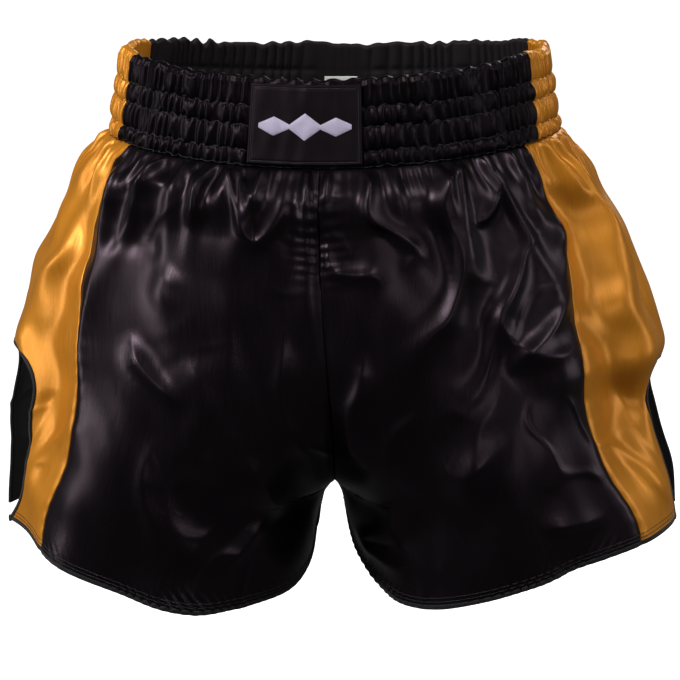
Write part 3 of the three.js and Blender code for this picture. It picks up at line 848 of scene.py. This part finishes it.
def casing(name, low, high, material, columns):
    """One casing section: up the outside, over the top edge and down the inside, along the band.
    The top edge is a half sine between the two faces, raised and lowered by random waves."""
    rows_out, rows_over, rows_in = CASING_ROWS
    turn = np.linspace(low, high, columns)[None, :]
    outer = np.linspace(BAND, 0, rows_out)[:, None] + 0 * turn
    inner = np.linspace(0.6, BAND - 0.5, rows_in)[:, None] + 0 * turn
    across = np.linspace(0.12, 0.88, rows_over)[:, None]
    outside = CASING_OUT + band_relief(turn, outer)
    outside = outside * (1 - 0.35 * smooth(outer, 3.5, 0))
    inside = -CASING_OUT - inner_relief(turn, inner)
    edge = 0.75 * ripple(turn, 30, 90, 121) + 0.9 * ripple(turn, 6, 18, 122)
    crest = -np.sin(np.pi * across) * (1.5 + 0.25 * edge)
    drop = np.vstack([outer, crest, inner])
    out = np.vstack([outside, mix(outside[-1:], inside[:1], across), inside])
    shift = [edge * smooth(outer, 9, 0), edge + 0 * across, edge * smooth(inner, 9, 0)]
    turns = np.broadcast_to(turn, drop.shape)
    level = np.clip(drop, 0, None)
    points = band_point(turns, level, out)
    away = band_point(turns, level, out + 1) - points
    points[..., 2] -= np.minimum(drop, 0) + np.vstack(shift)
    facing = np.where((np.arange(len(drop)) < rows_out)[:, None, None], away, 0)
    steps = np.diff(points[CASING_MEASURED], axis=0, prepend=points[CASING_MEASURED, :1])
    along = CASING_PACKED * np.cumsum(np.linalg.norm(steps, axis=-1))
    down = np.linspace(0, CASING_FLAT, len(drop))
    uv = np.stack(np.broadcast_arrays(along[None, :], down[:, None]), -1)
    return grid(name, points, facing, material, CASING_CLOTH, uv)


def band_thread(row):
    """A row of stitches round the band, sunk into the gathers it draws up."""
    turn = np.linspace(0, 2 * np.pi, 1500, endpoint=False)
    drop = np.full_like(turn, min(ROWS[row], BAND - 0.4))
    drop = np.clip(drop - row_wobble(turn), 0, BAND - 0.4)
    path = band_point(turn, drop, CASING_OUT + band_relief(turn, drop) + 0.25)
    out = band_point(turn, drop, 9.0) - band_point(turn, drop, 0.0)
    profile = stitches(path, 0.32, 2.6)
    return sweep(f"band_thread_{row}", path, out, profile, THREAD, closed=True)


# ------------------------------------------------------------------ the patch


def patch_angle(across):
    """The turn round the band at a place across the patch, by the arc cosine of its x."""
    return -np.arccos((PATCH_X + across) / WAIST[0])


def patch_lift(across, drop):
    """The patch lies almost flat over the gathers, held down round its edge."""
    x = np.abs(across) / (PATCH_SIZE[0] / 2)
    y = np.abs(drop - BAND / 2) / (PATCH_SIZE[1] / 2)
    edge = np.maximum(smooth(x, 0.97, 1.0), smooth(y, 0.965, 1.0))
    ruffle = 0.22 * swell(across, drop * 0.5, 14, 131) + 0.25 * np.cos(across / 5.3)
    sewn = bell(np.minimum((1 - x) * PATCH_SIZE[0], (1 - y) * PATCH_SIZE[1]) / 2 - PATCH_INSET, 0.9)
    return PATCH_OUT + ruffle * (1 - edge) - 1.5 * edge - 0.45 * sewn


def patch_point(across, drop, lift=0.0):
    """A point over the patch's face."""
    return band_point(patch_angle(across), drop, patch_lift(across, drop) + lift)


def patch():
    """A level rectangle of cloth, centred on the band's depth."""
    half_x, half_y = PATCH_SIZE[0] / 2, PATCH_SIZE[1] / 2
    middle = BAND / 2
    rows = np.linspace(middle - half_y, middle + half_y, 90)
    across, drop = np.meshgrid(np.linspace(-half_x, half_x, 120), rows)
    points = patch_point(across, drop)
    outward = patch_point(across, drop, 1) - points
    return grid("patch_cloth", points, outward, PATCH_SATIN, PATCH_CLOTH)


def patch_thread():
    """The patch's stitching: a rectangle inset from its edge."""
    half_x, half_y = PATCH_SIZE[0] / 2 - PATCH_INSET, PATCH_SIZE[1] / 2 - PATCH_INSET
    corners = np.array([(-1, -1), (1, -1), (1, 1), (-1, 1), (-1, -1)]) * (half_x, half_y)
    sides = [np.linspace(a, b, 130, endpoint=False) for a, b in zip(corners[:-1], corners[1:])]
    line = np.vstack(sides)
    path = patch_point(line[:, 0], line[:, 1] + BAND / 2, 0.15)
    out = patch_point(line[:, 0], line[:, 1] + BAND / 2, 3) - path
    return sweep("patch_thread", path, out, stitches(path, 0.3, 2.4), THREAD, closed=True)


def motif():
    """Three embroidered lozenges joined by a bar, raised in the middle like padded satin stitch."""
    width, height = MOTIF_SIZE
    share = np.linspace(0, 1, 181)[None, :]
    beat = np.abs((share * 3) % 1 - 0.5) * 2
    size = np.where(np.abs(share - 0.5) < 1 / 6, height, 0.7 * height)
    half = mix(size, 3.0, beat) / 2
    t = np.linspace(-1, 1, 25)[:, None]
    crown = (1 - np.abs(t) ** 3) * np.clip(half / 6, 0.35, 1)
    rim = np.minimum(smooth(share, 0, 0.012), smooth(1 - share, 0, 0.012))
    ridge = 0.08 * np.cos(2 * np.pi * share * width / 0.9)
    across = (share - 0.5) * width + 0 * t
    drop = MOTIF_DROP + t * half
    lift = 0.15 + (0.75 * crown + ridge) * rim
    points = patch_point(across, drop, lift)
    outward = patch_point(across, drop, 5) - points
    return grid("embroidered_motif", points, outward, EMBROIDERY, MOTIF_PAD)


# ------------------------------------------------------------------ body panels


def on_body(side, angle, drop, lift=0.0):
    """Points on one side's cloth, lifted off its outer face, and the outward directions there."""
    return cloth(side, angle, drop, lift), body_normal(side, angle, drop)


def down_share(crotch):
    """Even rows down a panel as shares of its length, one of them at the crotch."""
    above = round(ROWS_DOWN * crotch)
    upper = np.linspace(0, crotch, above, endpoint=False)
    return np.concatenate([upper, np.linspace(crotch, 1, ROWS_DOWN - above)])


def black_panel(name, side, end):
    """A front (end -1) or back (end 1) panel, from the gold seam to the rise and inseam."""
    u = np.linspace(0, 1, 150)[None, :]
    v = down_share((RISE - PANEL_TOP) / (OUTSEAM - PANEL_TOP))[:, None]
    hem = hem_drop(side, mix(gold_angle(OUTSEAM), np.pi, u))
    drop = mix(PANEL_TOP, hem, v)
    angle = end * mix(gold_angle(drop), rise_angle(drop), u)
    return grid(name, *on_body(side, angle, drop), BLACK_SATIN)


def vent_outline(side, margin, count=64):
    """The vent's edge in the side view as (y, drop), up the front, over the arch and down behind,
    with a margin all round: straight sides, quarter circles at the top and feet that swing in."""
    shut = VENT_CLOSED[side]
    front, back = VENT_SIDES[0] + shut - margin, VENT_SIDES[1] + margin
    top, corner = VENT_TOP[side] - margin, VENT_CORNER + margin
    t = np.linspace(0, 1, count)
    knee = mix(OUTSEAM, VENT_STRAIGHT, 0.5)
    foot = VENT_FEET[0] + shut / 2 - margin
    swing_y = (1 - t) ** 2 * foot + 2 * t * (1 - t) * front + t**2 * front
    swing_drop = (1 - t) ** 2 * OUTSEAM + 2 * t * (1 - t) * knee + t**2 * VENT_STRAIGHT
    arc = np.linspace(0, np.pi / 2, count)
    spans = [
        (swing_y, swing_drop),
        (np.full(count, front), np.linspace(VENT_STRAIGHT, top + corner, count)),
        (front + corner - corner * np.cos(arc), top + corner - corner * np.sin(arc)),
        (np.linspace(front + corner, back - corner, count), np.full(count, top)),
        (back - corner + corner * np.sin(arc), top + corner - corner * np.cos(arc)),
        (np.full(count, back), np.linspace(top + corner, VENT_STRAIGHT, count)),
        (mix(back, VENT_FEET[1] + margin, t), mix(VENT_STRAIGHT, OUTSEAM, t)),
    ]
    line = np.hstack([np.array(span)[:, :-1] for span in spans])
    length = np.pad(np.cumsum(np.hypot(*np.diff(line, axis=1))), (1, 0))
    even = np.linspace(0, length[-1], 6 * count)
    return np.interp(even, length, line[0]), np.interp(even, length, line[1])


def side_angle(y, drop):
    """The angle on a leg at a place along Y."""
    return np.arcsin(np.clip(y / body_size(drop)[1], -1, 1))


def near_vent(side, y, drop):
    """Whether each point (y, drop) lies inside the vent, by how often its edge passes above the
    point, and the nearest place on that edge."""
    edge_y, edge_drop = vent_outline(side, 0)
    below = [OUTSEAM + 60]
    edge_y = np.concatenate([edge_y[:1], edge_y, edge_y[-1:]])
    edge_drop = np.concatenate([below, edge_drop, below])
    inside = np.zeros(y.shape, bool)
    away = np.full(y.shape, 1e9)
    near_y, near_drop = y.copy(), drop.copy()
    for ay, ad, by, bd in zip(edge_y[:-1], edge_drop[:-1], edge_y[1:], edge_drop[1:]):
        dy, dd = by - ay, bd - ad
        t = np.clip(((y - ay) * dy + (drop - ad) * dd) / (dy * dy + dd * dd + 1e-9), 0, 1)
        gap = np.hypot(y - ay - t * dy, drop - ad - t * dd)
        closer = gap < away
        away = np.where(closer, gap, away)
        near_y = np.where(closer, ay + t * dy, near_y)
        near_drop = np.where(closer, ad + t * dd, near_drop)
        if dy:
            crossed = (np.minimum(ay, by) <= y) & (y < np.maximum(ay, by))
            inside ^= crossed & (drop > ad + (y - ay) / dy * dd)
    return inside, near_y, near_drop


def gold_panel(name, side):
    """The gold side panel: a grid from seam to seam with the vent cut out. Faces wholly inside the
    vent are left out, and the points inside it on the faces that stay move out to its edge."""
    u = np.linspace(-1, 1, 150)[None, :]
    v = np.linspace(0, 1, 210)[:, None]
    drop = mix(PANEL_TOP, hem_drop(side, u * gold_angle(OUTSEAM)), v)
    angle = u * gold_angle(drop)
    y = body_size(drop)[1] * np.sin(angle)
    inside, near_y, near_drop = near_vent(side, y, drop)
    hole = inside[:-1, :-1] & inside[1:, :-1] & inside[1:, 1:] & inside[:-1, 1:]
    y = np.where(inside, near_y, y)
    drop = np.where(inside, np.minimum(near_drop, drop + 3), drop)
    angle = np.where(inside, side_angle(y, drop), angle)
    return grid(name, *on_body(side, angle, drop), GOLD_SATIN, hole=hole)


# ------------------------------------------------------------------ trimmings


def vent_facing(name, side):
    """The facing: a strip on the inside round the vent, from its edge out to a wide margin."""
    edges = np.array([vent_outline(side, margin) for margin in np.linspace(0, FACING_WIDTH, 26)])
    y, drop = edges[:, 0], edges[:, 1]
    angle = side_angle(y, drop)
    drop = np.minimum(drop, hem_drop(side, angle) - 1.0)
    points, outward = on_body(side, angle, drop, -CLOTH - FACING_GAP)
    return grid(name, points, outward, LINING, FACING_CLOTH)


def vent_binding(name, side):
    """A tape folded over the vent's edge."""
    y, drop = vent_outline(side, 0)
    angle = side_angle(y, drop)
    profile = rounded(*VENT_TAPE) * (1, side)
    return sweep(name, *on_body(side, angle, drop), profile, BINDING)


def hem_line(side, inset, start, finish, count=520):
    """A line along the hem, from the vent's front, round the inseam, to the vent's back."""
    front = -side_angle(VENT_FEET[0] + VENT_CLOSED[side] / 2 - start, OUTSEAM)
    back = side_angle(VENT_FEET[1] + finish, OUTSEAM)
    turn = np.linspace(front, 2 * np.pi - back, count)
    folded = np.where(turn > np.pi, 2 * np.pi - turn, turn)
    angle = np.where(turn > np.pi, 1, -1) * folded
    drop = hem_drop(side, folded) - inset
    return angle, drop


def hem_binding(name, side):
    """A tape folded over the hem's edge."""
    angle, drop = hem_line(side, 0.0, 0.0, 0.0)
    profile = rounded(*HEM_TAPE) * (1, -side)
    return sweep(name, *on_body(side, angle, drop), profile, BINDING)


def hem_thread(name, side, inset):
    """A row of topstitching that follows the hem above its edge."""
    angle, drop = hem_line(side, inset, 1.3 * inset, 2.0, 700)
    path, out = on_body(side, angle, drop, 0.12)
    return sweep(name, path, out, stitches(path, 0.26, 3.0), THREAD)


def rise_binding(name, end):
    """The bound seam allowance on the inside of the centre seam: a strip that follows it down."""
    drop = np.linspace(BAND + 12, RISE - 62, 90)[:, None]
    across = np.linspace(-4, 4, 9)[None, :]
    inner = cloth(1, end * (rise_angle(drop) - 0.004), drop)
    points = inner + np.stack(np.broadcast_arrays(across, -end * (2.0 + 0 * across), 0.0), -1)
    outward = np.broadcast_to((0.0, float(end), 0.0), points.shape)
    return grid(name, points, outward, BINDING, SEAM_TAPE)


def size_label():
    """A woven label that hangs from its sewn top edge and curls a little off the band."""
    low, high = (np.array(corner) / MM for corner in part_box("size_label"))
    u = np.linspace(0, 1, 25)[None, :]
    v = np.linspace(0, 1, 33)[:, None]
    x = mix(low[0], high[0], u) + 0 * v
    z = mix(high[2], low[2], v) + 0 * u
    y = low[1] + 0.05 - 1.9 * v**2 - 0.5 * v * np.sin(np.pi * u)
    points = np.stack(np.broadcast_arrays(x, y, z), -1)
    outward = np.broadcast_to((0.0, -1.0, 0.0), points.shape)
    return grid("woven_label", points, outward, LABEL, LABEL_TAPE)


# ------------------------------------------------------------------ assembly

NAMES = {1: "left", -1: "right"}


def dress(piece, slot, *nodes, body="shorts"):
    """Says which body a piece rides and which nodes it stands in for. The slot is not used."""
    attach(piece, body)
    if nodes:
        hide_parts(*nodes)
    return piece


def add_band():
    """The four casing sections, the stitch rows and the look of the elastics inside."""
    half_turn = np.pi - GOLD_BAND
    elastics = [f"waist_elastic_{i + 1}" for i in range(len(CHANNELS))]
    sections = {
        "left": (-GOLD_BAND, GOLD_BAND, GOLD_SATIN, "gold_satin", 110),
        "back": (GOLD_BAND, half_turn, BAND_SATIN, "black_satin", 340),
        "right": (half_turn, np.pi + GOLD_BAND, GOLD_SATIN, "gold_satin", 110),
        "front": (np.pi + GOLD_BAND, 2 * np.pi - GOLD_BAND, BAND_SATIN, "black_satin", 340),
    }
    for name, (low, high, material, slot, columns) in sections.items():
        piece = casing(f"casing_cloth_{name}", low, high, material, columns)
        dress(piece, slot, f"band_casing_{name}")
        length = (high - low) * BAND_RADIUS * MM * FULLNESS
    for row, elastic in enumerate(elastics, 1):
        dress(band_thread(row), "thread", f"band_stitch_{row}")
        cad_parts[elastic].data.materials.clear()
        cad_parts[elastic].data.materials.append(ELASTIC)


def add_patch():
    """The patch with its stitching and the motif on it."""
    cloth_piece = dress(patch(), "patch_satin", "front_patch")
    thread = dress(patch_thread(), "thread", "patch_stitch")
    badge = dress(motif(), "embroidery", "patch_motif")


def add_leg(side):
    """One side: black front and back panels, and the gold panel with its facing and trimmings."""
    name = NAMES[side]
    for word, end in (("front", -1), ("back", 1)):
        panel = black_panel(f"{word}_satin_{name}", side, end)
        dress(panel, "black_satin", f"{word}_panel_{name}")
    gold = dress(gold_panel(f"side_satin_{name}", side), "gold_satin", f"side_panel_{name}")
    facing = dress(vent_facing(f"vent_lining_{name}", side), "black_lining", f"vent_facing_{name}")
    edge = dress(vent_binding(f"vent_tape_{name}", side), "black_binding", f"vent_binding_{name}")
    hem = dress(hem_binding(f"hem_tape_{name}", side), "black_binding", f"hem_binding_{name}")
    for row, inset in enumerate(HEM_ROWS, 1):
        thread = hem_thread(f"hem_thread_{name}_{row}", side, inset)
        dress(thread, "thread", f"hem_stitch_{name}_{row}")


add_band()
add_patch()
add_leg(1)
add_leg(-1)
for word, end in (("front", -1), ("back", 1)):
    dress(rise_binding(f"seam_tape_{word}", end), "black_binding", f"seam_binding_{word}")
label = dress(size_label(), "label_tape", "size_label", body="label")

# ------------------------------------------------------------------ stage and light

FLOOR_SIZE, FLOOR_LEVEL = 60, -0.8
WORLD_STRENGTH = 0.08
WHITE = (1, 1, 1, 1)
LIGHTS = {  # place, size and power
    "key": ((-1.9, -1.5, 1.9), (0.7, 0.7), 66),
    "top": ((1.2, -1.1, 2.3), (0.8, 0.8), 23),
    "fill": ((1.5, -2.4, 0.5), (0.5, 1.2), 6),
    "rim_right": ((2.5, -0.3, 0.5), (0.5, 1.4), 10),
    "rim_left": ((-2.4, -0.4, 0.3), (0.5, 1.4), 18),
    "back": ((1.2, 2.4, 1.2), (1.4, 1.2), 22),
}


def add_stage():
    """A white floor that lights nothing and is mirrored in nothing."""
    bpy.ops.mesh.primitive_plane_add(size=FLOOR_SIZE, location=(0, 0, FLOOR_LEVEL))
    floor = bpy.context.object
    floor.name = "floor"
    finish = Finish("pale_floor", Roughness=0.9, Specular_IOR_Level=0.1)
    grain = finish.noise(finish.place(), 3.0)
    finish.set("Base Color", finish.blend(grain, (0.9, 0.9, 0.9, 1), (0.94, 0.94, 0.94, 1)))
    finish.set("Emission Color", WHITE)
    finish.set("Emission Strength", 1.0)
    floor.data.materials.append(finish.material)
    floor.visible_glossy = False
    floor.visible_diffuse = False


def add_light(name, place, size, power):
    """An area light that faces the middle of the shorts."""
    data = bpy.data.lights.new(name, "AREA")
    data.shape = "RECTANGLE"
    data.size, data.size_y = size
    data.energy = power
    light = bpy.data.objects.new(name, data)
    bpy.context.scene.collection.objects.link(light)
    light.location = place
    light.rotation_euler = (VIEW_TARGET - Vector(place)).to_track_quat("-Z", "Y").to_euler()


def add_world():
    """White to the camera, and a dim even grey to the cloth."""
    world = bpy.data.worlds.new("studio")
    world.use_nodes = True
    bpy.context.scene.world = world
    tree = world.node_tree
    ground = tree.nodes["Background"]
    ground.inputs["Color"].default_value = WHITE
    ground.inputs["Strength"].default_value = WORLD_STRENGTH
    seen = tree.nodes.new("ShaderNodeBackground")
    seen.inputs["Color"].default_value = WHITE
    path = tree.nodes.new("ShaderNodeLightPath")
    chooser = tree.nodes.new("ShaderNodeMixShader")
    tree.links.new(path.outputs["Is Camera Ray"], chooser.inputs[0])
    tree.links.new(ground.outputs[0], chooser.inputs[1])
    tree.links.new(seen.outputs[0], chooser.inputs[2])
    tree.links.new(chooser.outputs[0], tree.nodes["World Output"].inputs["Surface"])


add_stage()
add_world()
for name, light in LIGHTS.items():
    add_light(name, *light)
bpy.context.scene.view_settings.view_transform = "Standard"
